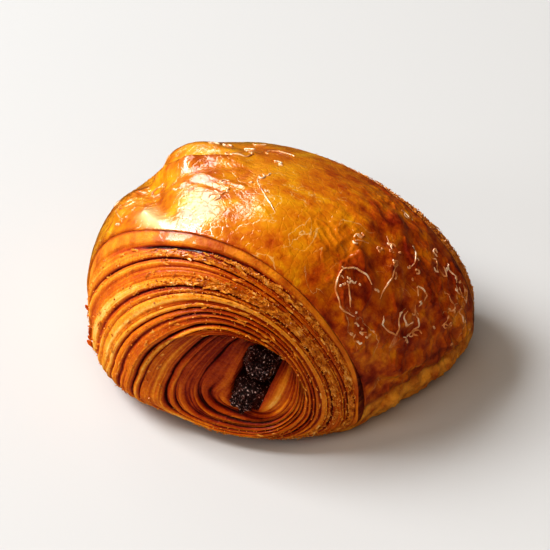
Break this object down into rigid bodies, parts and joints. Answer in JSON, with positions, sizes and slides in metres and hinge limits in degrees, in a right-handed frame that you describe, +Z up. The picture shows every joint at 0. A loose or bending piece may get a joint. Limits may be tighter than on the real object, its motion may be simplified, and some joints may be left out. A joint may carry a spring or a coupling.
{
  "type": "pain au chocolat",
  "caption": "Baked pain au chocolat: laminated dough rolled in a spiral round chocolate batons, with a glossy browned crust and open spiral ends.",
  "frame": {"origin": "middle of the underside, on the surface that the pastry rests on", "axes": "+X across the roll, +Y along the roll away from the front spiral end, +Z up"},
  "size_m": [0.1024, 0.0871, 0.0596],
  "materials": {
    "baked_dough": "egg-washed crust, glossy amber to brown; cut ends matt and flaky",
    "dark_chocolate": "baked dark chocolate, crumbly and satin"
  },
  "bodies": {
    "root": {"pastry": "baked_dough", "chocolate_baton_upper": "dark_chocolate", "chocolate_baton_lower": "dark_chocolate"}
  },
  "joints": []
}
